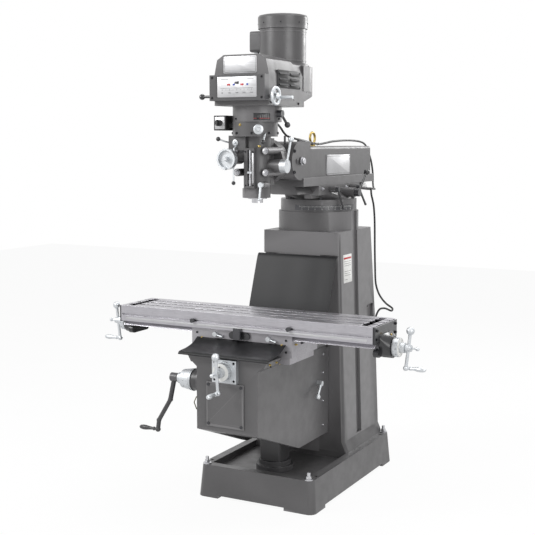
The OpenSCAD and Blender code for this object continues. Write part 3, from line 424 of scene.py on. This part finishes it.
ROUTES = {
    "head_cable": (1, "knuckle", "head", [
        (0.052, -0.353, 1.75), (0.054, -0.332, 1.7395), (0.054, -0.31, 1.726),
        (0.0515, -0.289, 1.714), (0.05, -0.2684, 1.7042)]),
    "knuckle_cable": (1, "ram", "knuckle", [
        (0.05, -0.2676, 1.7039), (0.0505, -0.247, 1.6948), (0.06, -0.222, 1.687),
        (0.064, -0.1964, 1.6826)]),
    "ram_cable": (2, "turret", "ram", [
        (0.0641, -0.1956, 1.6825), (0.067, -0.15, 1.6775), (0.068, -0.1, 1.672),
        (0.066, 0.06, 1.657), (0.066, 0.2, 1.668), (0.066, 0.34, 1.674), (0.066, 0.47, 1.674),
        (0.068, 0.57, 1.668), (0.074, 0.622, 1.652), (0.084, 0.646, 1.61), (0.098, 0.652, 1.56),
        (0.107, 0.652, 1.5), (0.116, 0.634, 1.452), (0.148, 0.566, 1.426),
        (0.184, 0.494, 1.425), (0.187, 0.4524, 1.428)]),
    "column_cable": (2, "turret", "column", [
        (0.187, 0.4516, 1.4281), (0.188, 0.436, 1.4275), (0.194, 0.427, 1.396),
        (0.2, 0.442, 1.345), (0.203, 0.452, 1.26), (0.203, 0.458, 1.13), (0.204, 0.464, 1.01),
        (0.207, 0.47, 0.93), (0.224, 0.484, 0.87), (0.256, 0.496, 0.828), (0.288, 0.5, 0.806),
        (0.29, 0.48, 0.795), (0.266, 0.462, 0.808), (0.242, 0.446, 0.806), (0.23, 0.434, 0.784),
        (0.224, 0.424, 0.756)]),
}
CORD_D = 0.010


def spline_points(points, steps):
    path = []
    for i in range(len(points) - 1):
        a, b, c, d = (Vector(points[min(max(i + k, 0), len(points) - 1)]) for k in (-1, 0, 1, 2))
        for s in range(steps):
            t = s / steps
            path.append(0.5 * (2 * b + (c - a) * t + (2 * a - 5 * b + 4 * c - d) * t * t
                               + (3 * b - a - 3 * c + d) * t ** 3))
    return path + [Vector(points[-1])]


def add_cords():
    # each cable becomes one sheath through its points, attached to no body
    for name, (steps, first, second, points) in ROUTES.items():
        path = spline_points(points, steps)
        fine = spline_points(path, 3)
        kit = Kit(name + "_sheath", None, "sheath")
        kit.tube([p / MM for p in fine], CORD_D / 2 / MM, 12)
        piece = kit.done(60)
        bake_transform(piece)
        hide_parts(name)


add_cords()


# ---------------------------------------------------------------- rubber guards

def guard_sheet(name, line, half_width, thickness, sag, node, seed):
    """A rubber sheet along a line in the YZ plane (millimetres), closed, with soft waves."""
    across = 44
    path = [Vector((0, p.x, p.y)) for p in
            (q.to_2d() for q in spline_points([(y, z, 0) for y, z in line], 5))]
    kit = Kit(name, None, "rubber")
    rows = len(path)
    top, low = [], []
    for i, p in enumerate(path):
        ahead, behind = path[min(i + 1, rows - 1)], path[max(i - 1, 0)]
        along = (ahead - behind).normalized()
        normal = Vector((0, along.z, -along.y))
        free = math.sin(math.pi * (i / (rows - 1)))
        row_a, row_b = [], []
        for k in range(across + 1):
            u = 2 * k / across - 1
            wave = 0.6 * noise.noise(Vector((u * 2.2 + seed, i / rows * 0.5, seed)))
            curl = abs(u) ** 6
            shift = sag * free * (wave - 0.55 * curl)
            base = Vector((u * half_width, p.y, p.z)) + normal * shift
            row_a.append(kit.mesh.verts.new((base + normal * thickness / 2) * MM))
            row_b.append(kit.mesh.verts.new((base - normal * thickness / 2) * MM))
        top.append(row_a)
        low.append(row_b)
    face = kit.mesh.faces.new
    for i in range(rows - 1):
        for k in range(across):
            face((top[i][k], top[i][k + 1], top[i + 1][k + 1], top[i + 1][k]))
            face((low[i][k], low[i + 1][k], low[i + 1][k + 1], low[i][k + 1]))
        for k, flip in ((0, 1), (across, -1)):
            quad = (top[i][k], top[i + 1][k], low[i + 1][k], low[i][k])
            face(quad[::flip])
    for i, flip in ((0, 1), (rows - 1, -1)):
        for k in range(across):
            quad = (top[i][k], low[i][k], low[i][k + 1], top[i][k + 1])
            face(quad[::flip])
    piece = kit.done(50)
    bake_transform(piece)
    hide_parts(node)


guard_sheet("rear_guard_sheet",
            [(-31, 1122), (-45, 1113), (-67, 1060), (-97, 980), (-129, 890), (-149, 820),
             (-159, 775), (-161, 739)],
            214, 2.6, 5.0,
            "rear_way_guard", 3.1)
guard_sheet("front_guard_sheet",
            [(-598, 791.5), (-607, 787.5), (-641, 769.5), (-691, 758.5), (-744, 753.5),
             (-757, 747), (-759.5, 740)],
            225, 2.4, 2.5,
            "front_way_guard", 7.7)


# ---------------------------------------------------------------- base, column and knee

UPPER_SIDE = (1, 0, 14 / 435)  # square to the column's side above the shoulder
LABEL_Y, LABEL_Z = 99.5, 1053.0
LABEL_LINE = 84  # the label's longest line


def column_x(z):
    """Half width of the column's side at a height."""
    if z > 800:
        return 202 + (1235 - z) * 14 / 435
    return 216 + (800 - z) * 21 / 596


kit = Kit("column_label", "column", "white")
kit.plate((column_x(LABEL_Z) - 0.2, LABEL_Y, LABEL_Z), UPPER_SIDE, (100, 138, 0.9),
          up=Z, radius=3, edge=0.3)
kit.done()
kit = Kit("column_label_bar", "column", "red")
kit.plate((column_x(1104) + 0.6, LABEL_Y, 1104), UPPER_SIDE, (90, 9, 0.3),
          up=Z, radius=1, edge=0.1)
kit.done()
kit = Kit("column_label_lines", "column", "print")
for z, w in ((1088, 84), (1078, 76), (1068, 80), (1040, 84), (1030, 66), (1020, 78), (1000, 40)):
    kit.plate((column_x(z) + 0.6, LABEL_Y - (LABEL_LINE - w) / 2, z), UPPER_SIDE, (w, 1.6, 0.25),
              up=Z, radius=0.5, edge=0.1)
kit.done()

kit = Kit("column_screws", "column", "oxide")
for y, z in ((338, 772), (404, 772), (338, 834), (404, 834)):
    kit.socket_screw((column_x(z) - 0.5, y, z), (1, 0, 0.03), 3.4, 2.2)
for side in (-1, 1):
    for y in (30, 380):
        kit.hex_nut((side * 226, y, 170), Z, 11, 9, 5)
kit.done()

kit = Kit("knee_oilers", "knee", "brass")
for at, axis in (((153, -250, 690), X), ((153, -520, 690), X), ((200, -700, 722), X),
                 ((200, -640, 722), X), ((-200, -690, 722), NEG_X)):
    kit.lathe(at, axis, [(5, -1), (5, 3), (3.4, 3.4), (3.4, 6), (2.2, 8), (0.3, 8.4)], 16)
kit.done()

kit = Kit("knee_screws", "knee", "oxide")
for x in (-48, 48):
    for z in (642, 720):
        kit.socket_screw((x, -737.5, z), NEG_Y, 5.4, 5)
for y in (-690, -360):
    kit.socket_screw((199.5, y, 712), X, 4.2, 3)
for k in range(4):
    a = math.tau * (k + 0.5) / 4
    kit.socket_screw((-162.5, -660 + 52 * math.cos(a), 608 + 52 * math.sin(a)), NEG_X, 4.6, 4)
kit.done()

kit = Kit("knee_gib_screws", "knee", "steel")
for z in (300, 420, 560, 650):
    kit.lathe((152.5, -60, z), X, [(7, 0), (7, 1.5), (5, 1.5), (5, 5), (4.2, 6), (0.4, 6)], 18)
kit.done()

dial_marks("cross_dial_marks", "cross_screw", (0, -751.6, 682), NEG_Y, 40.0, 40.0, 23, 100, 10, 6.5)
dial_marks("lift_dial_marks", "lift_crank", (-201, -660, 608), NEG_X, 50.7, 42.2, 54, 100, 10, 7.5)
kit = Kit("cross_ring", "cross_screw", "white")
kit.lathe((0, -775, 682), NEG_Y, [(39, -0.1), (39, 0.5), (23, 0.5), (23, -0.1)], 64)
kit.done()
kit = Kit("dial_clamp_screws", "cross_screw", "oxide")
kit.knob((0, -784, 703), Z, 4, 7)
kit.done()


# ---------------------------------------------------------------- saddle and table

TABLE_DIALS = ((-1, "left"), (1, "right"))
SCREW_Y, SCREW_Z = -485, 808  # the table feed screw's axis
DIAL_RING = [(40, -0.1), (40, 0.5), (23, 0.5), (23, -0.1)]

kit = Kit("saddle_gib_screws", "saddle", "oxide")
for x in (-226, 226):
    for z in (760, 812):
        kit.socket_screw((x, -595.5, z), NEG_Y, 5, 4)
kit.done()
kit = Kit("saddle_scale", "saddle", "plate")
kit.plate((84, -596, 786), NEG_Y, (60, 9, 1.0), up=Z, radius=0.5, edge=0.2)
kit.done()
kit = Kit("saddle_oilers", "saddle", "brass")
for at, axis in (((253.5, -560, 792), X), ((253.5, -400, 792), X), ((-200, -595.5, 790), NEG_Y),
                 ((206, -595.5, 790), NEG_Y)):
    kit.lathe(at, axis, [(5, -1), (5, 4), (3.4, 4.4), (3.4, 8), (2, 10), (0.3, 10.3)], 16)
kit.done()

kit = Kit("bracket_screws", "table", "oxide")
for side in (-1, 1):
    axis = (side, 0, 0)
    for y in (-590, -380):
        for z in (852, 890):
            kit.socket_screw((side * 644.8, y, z), axis, 6.4, 6)
kit.done()
kit = Kit("table_rule", "table", "plate")
kit.plate((0, -612, 849), NEG_Y, (1220, 9, 0.5), up=Z, radius=0.5, edge=0.1)
kit.done()
kit = Kit("bracket_oilers", "table", "brass")
for side in (-1, 1):
    kit.lathe((side * 668, -485, 857.5), Z, [(5, -2), (5, 3), (3.4, 3.4), (3.4, 6), (0.3, 8)], 16)
kit.done()
for side, tag in TABLE_DIALS:
    dial_marks(f"table_dial_marks_{tag}", "table_screw", (side * 685.6, SCREW_Y, SCREW_Z),
               (side, 0, 0), 41.0, 41.0, 23, 100, 10, 6.5)
kit = Kit("table_dial_rings", "table_screw", "white")
for side in (-1, 1):
    kit.lathe((side * 709.3, SCREW_Y, SCREW_Z), (side, 0, 0), DIAL_RING, 64)
kit.done()


# ---------------------------------------------------------------- turret and ram

TURRET_Y = 205

kit = Kit("turret_degree_marks", "turret", "white")
for k in range(-2, 42):
    a = math.radians(-90 + k * 2.0)
    out = (math.cos(a), math.sin(a), 0)
    long = 13 if k % 5 == 0 else 7
    kit.plate((191 * out[0], TURRET_Y + 191 * out[1], 1358 - long / 2), out, (0.9, long, 0.35),
              up=Z, radius=0.2, edge=0.1, low=-0.1)
    if k % 5 == 0:
        kit.text(str(abs(k * 2)), (191.1 * out[0], TURRET_Y + 191.1 * out[1], 1340.5), out, Z, 6)
kit.done()
kit = Kit("turret_bolts", "turret", "oxide")
for a in (-62, -118, 25, 155, 68, 112):
    c, s = math.cos(math.radians(a)), math.sin(math.radians(a))
    kit.socket_screw((168 * c, TURRET_Y + 168 * s, 1386.5), Z, 10, 9)
kit.done()
kit = Kit("turret_gib_screws", "turret", "steel")
for y in (-20, 120, 260, 390):
    for side in (-1, 1):
        kit.hex_nut((side * 125, y, 1444), (side, 0, 0), 7, 5, 3.5)
kit.done()

kit = Kit("ram_nameplates", "ram", "plate")
kit.plate((112, 191, 1556), X, (276, 98, 3.2), up=Z, radius=8, edge=1.0)
kit.plate((-112, 191, 1556), NEG_X, (276, 98, 3.2), up=Z, radius=8, edge=1.0)
kit.done()
kit = Kit("ram_nameplate_frames", "ram", "dark_enamel")
for side in (-1, 1):
    place = frame_at((side * 115.2, 191, 1556), (side, 0, 0), Z)
    for w, h, dx, dy in ((262, 1.6, 0, 42), (262, 1.6, 0, -42),
                         (1.6, 84, 131, 0), (1.6, 84, -131, 0)):
        kit.plate(place @ Vector((dx, dy, 0)), (side, 0, 0), (w, h, 0.25), up=Z, radius=0.3,
                  edge=0.1, low=-0.1)
kit.done()
kit = Kit("ram_screws", "ram", "oxide")
for side in (-1, 1):
    for y, z in ((-302, 1626), (-198, 1581), (-304, 1530)):
        kit.socket_screw((side * 115, y, z), (side, 0, 0), 8, 7)
    for y, z in ((62, 1513), (62, 1599), (320, 1513), (320, 1599)):
        kit.socket_screw((side * 115.2, y, z), (side, 0, 0), 2.4, 1.0)
kit.done()
kit = Kit("ram_pivot_covers", "ram", "dark_enamel")
for side in (-1, 1):
    kit.lathe((side * 115, -270, 1580), (side, 0, 0), [(13, 0), (13, 3), (11, 4), (0.5, 4)], 32)
kit.done()
kit = Kit("ram_clamp_lever", "ram", "black")
kit.lathe((86, -196, 1668), Z, [(9, 0), (9, 8), (7, 10), (0.5, 10)], 20)
kit.tube([(86, -196, 1675), (92, -160, 1672), (98, -112, 1661), (101, -92, 1659)], 4)
kit.ball((102, -88, 1659), 8)
kit.done()
kit = Kit("cable_clips", "ram", "chrome")
x, y, z = 66, 60, 1657
kit.tube([(x + 6.6 * math.cos(a), y, z + 6.6 * math.sin(a)) for a in
          (math.tau * k / 16 for k in range(-2, 11))] + [(x - 7, y, 1647)], 1.3, 6)
kit.socket_screw((x - 8, y, 1646.4), Z, 3.6, 3)
kit.done()
kit = Kit("eye_washer", "ram", "brass")
kit.lathe((0, 128, 1646.3), Z, [(18, 0), (18, 2), (16, 3), (13.3, 3), (13.3, 0.2)], 32)
kit.done()


# ---------------------------------------------------------------- knuckle and head

QUILL_Y, MOTOR_Y = -441, -193
PRINT_FACE = -624.6  # the speed plate's front, which its marks stand on

kit = Kit("knuckle_scale", "knuckle", "white")
for k in range(-12, 13):
    a = math.radians(90 + k * 4)
    out = (math.cos(a), 0, math.sin(a))
    long = 12 if k % 3 == 0 else 7
    kit.plate((100 * out[0], -344 + (12 - long) / 2, 1580 + 100 * out[2]), out, (0.8, long, 0.3),
              up=Y, radius=0.2, edge=0.1, low=-0.1)
kit.done()
kit = Kit("knuckle_pin_heads", "knuckle", "steel")
for side in (-1, 1):
    kit.lathe((side * 122.5, -235, 1580), (side, 0, 0),
              [(19, 0), (19, 2), (16, 2, 1), (16, 12, 1), (13, 14), (0.5, 14)], 24)
kit.done()

kit = Kit("head_nuts", "head", "steel")
for x in (-72, 72):
    for z in (1532, 1628):
        kit.hex_nut((x, -497, z), NEG_Y, 11, 11, 6)
kit.done()
kit = Kit("head_screws", "head", "oxide")
for a in range(20, 360, 45):
    c, s = math.cos(math.radians(a)), math.sin(math.radians(a))
    kit.socket_screw((-8 + 101 * c, -445 + 101 * s, 1706), (c, s, 0), 5.5, 4.5)
for a in range(0, 360, 60):
    c, s = math.cos(math.radians(a)), math.sin(math.radians(a))
    kit.socket_screw((109 * c, QUILL_Y + 109 * s, 1768), (c, s, 0), 5.0, 4.0)
for x in (-122, 122):
    for z in (1856, 1942):
        kit.socket_screw((x, -619, z), NEG_Y, 5.6, 4)
for x in (-18, 20):
    for z in (1476, 1624):
        kit.socket_screw((x, -517, z), NEG_Y, 3.6, 3)
kit.done()

kit = Kit("depth_scale", "head", "plate")
kit.plate((19, -517, 1552), NEG_Y, (8, 132, 0.6), up=Z, radius=0.5, edge=0.15)
kit.done()
kit = Kit("depth_scale_marks", "head", "print")
for k in range(0, 51):
    long = 6 if k % 10 == 0 else 4.5 if k % 5 == 0 else 3
    kit.plate((22.2 - long / 2, -517.6, 1489 + k * 2.54), NEG_Y, (long, 0.45, 0.15), up=Z,
              radius=0.1, edge=0.05, low=-0.05)
kit.done()
kit = Kit("micrometer_nut", "head", "chrome")
kit.lathe((1, -510, 1528), Z, [(12, 0), (13.5, 1), (13.5, 9), (12, 10), (5.2, 10), (5.2, 0)], 36)
kit.done()

kit = Kit("feed_levers", "head", "chrome")
kit.tube([(-66, -513, 1650), (-70, -528, 1640), (-66, -538, 1560), (-66, -540, 1492)], 3.4)
kit.tube([(-106, -480, 1662), (-128, -500, 1668), (-146, -524, 1678)], 3.6)
kit.lathe((-106, -480, 1662), NEG_X, [(12, -1), (12, 8), (9, 11), (0.5, 11)], 24)
kit.tube([(60, -468, 1716), (82, -520, 1700), (88, -548, 1672)], 3.6)
kit.done()
kit = Kit("feed_lever_balls", "head", "black")
kit.ball((-66, -540, 1486), 9)
kit.ball((-150, -529, 1680), 10)
kit.ball((89, -552, 1667), 10)
kit.done()
kit = Kit("feed_selector", "head", "chrome")
kit.lathe((52, -526, 1722), (0.45, -0.9, 0),
          [(22, 0), (22, 5), (19, 7), (10, 7), (10, 14), (8.5, 16), (0.5, 16)], 32)
kit.lathe((-70, -513, 1664), NEG_Y,
          [(14, 0), (14, 5), (11, 7), (6, 7), (6, 16), (4.8, 17.5), (0.5, 17.5)], 24)
kit.done()
kit = Kit("head_oiler", "head", "brass")
kit.lathe((-30, -541, 1742), NEG_Y, [(6, -3), (6, 4), (4, 5), (4, 9), (2, 11), (0.4, 11.2)], 18)
kit.lathe((44, -500, 1648), NEG_Y, [(5, -3), (5, 3), (3.5, 4), (3.5, 8), (0.4, 9)], 18)
kit.done()
for name, look, height, z, rise in (("gear_label", "black", 30, 1777, 0.8),
                                    ("gear_label_line", "red", 1.6, 1770, 1.05)):
    kit = Kit(name, "head", look)
    for k in range(7):
        a = math.radians(-67 + k * 5.6)
        c, s = math.cos(a), math.sin(a)
        kit.plate((109 * c, QUILL_Y + 109 * s, z), (c, s, 0), (11.2, height, rise),
                  up=Z, radius=0.4, edge=0.2, low=-0.6)
    kit.done()

# hood: bare nameplate, speed scale, louvres and seam screws
kit = Kit("hood_plates", "head", "plate")
kit.plate((-5, -585, 1998), NEG_Y, (164, 74, 2.2), up=Z, radius=7, edge=0.8)
kit.plate((0, -623, 1902), NEG_Y, (194, 88, 1.6), up=Z, radius=4, edge=0.5)
kit.done()
kit = Kit("hood_plate_frame", "head", "dark_enamel")
for w, h, x, z in ((152, 1.4, -5, 2029), (152, 1.4, -5, 1967),
                   (1.4, 62, -81, 1998), (1.4, 62, 71, 1998)):
    kit.plate((x, -587.2, z), NEG_Y, (w, h, 0.25), up=Z, radius=0.3, edge=0.1, low=-0.1)
kit.done()
kit = Kit("speed_plate_marks", "head", "print")
for k in range(-4, 5):
    kit.plate((k * 18, PRINT_FACE, 1890), NEG_Y, (1.0, 8 if k % 2 == 0 else 5, 0.2), up=Z,
              radius=0.2, edge=0.05, low=-0.05)
for x, word in ((-72, "60"), (-36, "500"), (0, "1000"), (36, "2000"), (72, "4200")):
    kit.text(word, (x, -624.7, 1877), NEG_Y, Z, 8)
kit.plate((0, PRINT_FACE, 1897), NEG_Y, (160, 1.0, 0.2), up=Z, radius=0.2, edge=0.05, low=-0.05)
kit.plate((-62, PRINT_FACE, 1934), NEG_Y, (40, 1.8, 0.2), up=Z, radius=0.2, edge=0.05, low=-0.05)
kit.plate((62, PRINT_FACE, 1934), NEG_Y, (40, 1.8, 0.2), up=Z, radius=0.2, edge=0.05, low=-0.05)
kit.done()
kit = Kit("speed_plate_red", "head", "red")
for x in (-40, 26):
    kit.plate((x, PRINT_FACE, 1912), NEG_Y, (16, 8, 0.25), up=Z, radius=2, edge=0.1, low=-0.05)
kit.done()
kit = Kit("speed_plate_blue", "head", "blue")
for x in (-14, 52):
    kit.plate((x, PRINT_FACE, 1912), NEG_Y, (10, 8, 0.25), up=Z, radius=2, edge=0.1, low=-0.05)
kit.done()
kit = Kit("speed_window", "head", "black")
kit.plate((0, -624.4, 1920), NEG_Y, (22, 11, 0.8), up=Z, radius=2, edge=0.3)
kit.done()

kit = Kit("louvre_panels", "head", "plastic")
for side in (-1, 1):
    kit.plate((side * 134, -396, 1940), (side, 0, 0), (226, 78, 3), up=Z, radius=6, edge=1)
    for row in range(3):
        for column in range(2):
            y = -450 + column * 108
            z = 1916 + row * 24
            place = frame_at((side * 137, y, z), (side, 0, 0), Z)
            kit.rings([[place @ Vector(p) for p in
                        ((-44, -4, h0), (44, -4, h0), (44, 5, h1), (-44, 5, h1))]
                       for h0, h1 in ((-0.5, -0.5), (6.5, 0.2))])
kit.done()
# painted shade: a black strip under each louvre lip stands in for the shade in the louvre's opening
kit = Kit("louvre_gap_shade", "head", "print")
for side in (-1, 1):
    for row in range(3):
        for column in range(2):
            kit.plate((side * 137, -450 + column * 108, 1908.5 + row * 24), (side, 0, 0),
                      (86, 6.5, 0.4), up=Z, radius=1, edge=0.1, low=-0.2)
kit.done()
kit = Kit("hood_seam_screws", "head", "oxide")
for side in (-1, 1):
    for y in (-560, -300):
        kit.socket_screw((side * 134, y, 1838), (side, 0, 0), 5, 4)
    for y in (-500, -292):
        for z in (1908, 1972):
            kit.socket_screw((side * 137, y, z), (side, 0, 0), 3, 2)
kit.done()

# motor and switch: bolts, ribs, terminal lid and gland, switch plate
kit = Kit("motor_bolts", "head", "oxide")
for k in range(4):
    a = math.radians(45 + 90 * k)
    kit.hex_nut((126 * math.cos(a), MOTOR_Y + 126 * math.sin(a), 2009.5), Z, 7, 6, 3)
for k in range(8):
    a = math.radians(22.5 + 45 * k)
    c, s = math.cos(a), math.sin(a)
    kit.socket_screw((114.3 * c, MOTOR_Y + 114.3 * s, 2206), (c, s, 0), 3.2, 1.6)
kit.done()
kit = Kit("motor_ribs", "head", "cover")
for z in (2036, 2168):
    kit.lathe((0, MOTOR_Y, z), Z, [(106.5, -3), (108.6, -2), (108.6, 2), (106.5, 3)], 96)
kit.done()
kit = Kit("terminal_lid", "head", "black")
kit.plate((-152, -196, 2130), NEG_X, (68, 92, 3), up=Z, radius=9, edge=1)
kit.done()
kit = Kit("terminal_lid_screws", "head", "chrome")
for y in (-224, -168):
    for z in (2092, 2168):
        kit.socket_screw((-155, y, z), NEG_X, 3.2, 2)
kit.done()
kit = Kit("terminal_gland", "head", "chrome")
kit.lathe((-134, -196, 2082), (0, 0, -1),
          [(13, -2), (13, 8), (11, 8, 1), (11, 16, 1), (8, 18), (7, 26), (0.5, 26)], 24)
kit.done()
kit = Kit("switch_plate", "head", "plate")
kit.plate((-147, -520, 1751), NEG_Y, (50, 54, 0.8), up=Z, radius=3, edge=0.3)
kit.done()
kit = Kit("switch_marks", "head", "print")
kit.plate((-166, -520.8, 1764), NEG_Y, (5, 1.2, 0.2), up=Z, radius=0.2, edge=0.05, low=-0.05)
kit.plate((-128, -520.8, 1764), NEG_Y, (1.2, 5, 0.2), up=Z, radius=0.2, edge=0.05, low=-0.05)
kit.done()
kit = Kit("fine_wheel_knob", "fine_wheel", "chrome")
kit.lathe((-88, -579, 1592), NEG_Y, [(9, 0), (9, 3), (6.5, 5), (0.4, 5)], 24)
kit.done()


# ---------------------------------------------------------------- floor and light

def add_stage():
    mesh = bpy.data.meshes.new("floor")
    mesh.from_pydata([(-9, -9, 0), (9, -9, 0), (9, 9, 0), (-9, 9, 0)], [], [(0, 1, 2, 3)])
    floor = bpy.data.objects.new("floor", mesh)
    bpy.context.scene.collection.objects.link(floor)
    n = Nodes("floor_white")
    tree = n.tree
    tone = n.mix(n.range(n.noise(3.0), 0, 1), (0.84, 0.84, 0.84), (0.88, 0.88, 0.88))
    n.set(Base_Color=tone, Roughness=0.9)
    glow = n.add("Emission", {"Color": (1, 1, 1, 1), "Strength": 1.0})
    path = n.add("LightPath")
    seen = n.add("Math", {0: path.outputs["Is Camera Ray"], 1: path.outputs["Is Glossy Ray"]},
                 operation="MAXIMUM")
    share = n.add("Math", {0: seen.outputs[0], 1: 0.93}, operation="MULTIPLY")
    mix = n.add("MixShader", {0: share.outputs[0], 1: n.shader.outputs[0], 2: glow.outputs[0]})
    tree.links.new(mix.outputs[0], tree.nodes["Material Output"].inputs["Surface"])
    mesh.materials.append(n.material)

    world = bpy.data.worlds.new("studio")
    bpy.context.scene.world = world
    world.use_nodes = True
    tree = world.node_tree
    back = tree.nodes["Background"]
    back.inputs["Color"].default_value = (1, 1, 1, 1)
    path = tree.nodes.new("ShaderNodeLightPath")
    seen = path.outputs["Is Camera Ray"]
    for ray in ("Is Transmission Ray", "Is Glossy Ray"):
        both = tree.nodes.new("ShaderNodeMath")
        both.operation = "MAXIMUM"
        tree.links.new(seen, both.inputs[0])
        tree.links.new(path.outputs[ray], both.inputs[1])
        seen = both.outputs[0]
    strength = tree.nodes.new("ShaderNodeMapRange")
    strength.inputs["To Min"].default_value = 0.42
    strength.inputs["To Max"].default_value = 1.0
    tree.links.new(seen, strength.inputs["Value"])
    tree.links.new(strength.outputs[0], back.inputs["Strength"])

    for name, at, size, power in (
            ("key", (-2.6, -3.4, 3.6), 1.6, 130), ("fill", (3.6, -2.4, 2.2), 2.4, 60),
            ("top", (0.4, 0.2, 4.4), 2.2, 60), ("rim", (1.2, 3.4, 2.8), 1.6, 50)):
        lamp = bpy.data.lights.new(name, "AREA")
        lamp.size = size
        lamp.energy = power
        light = bpy.data.objects.new(name, lamp)
        light.location = at
        aim = Vector((0, 0, 1.1)) - Vector(at)
        light.rotation_euler = aim.to_track_quat("-Z", "Y").to_euler()
        bpy.context.scene.collection.objects.link(light)
    bpy.context.scene.view_settings.view_transform = "Standard"


add_stage()
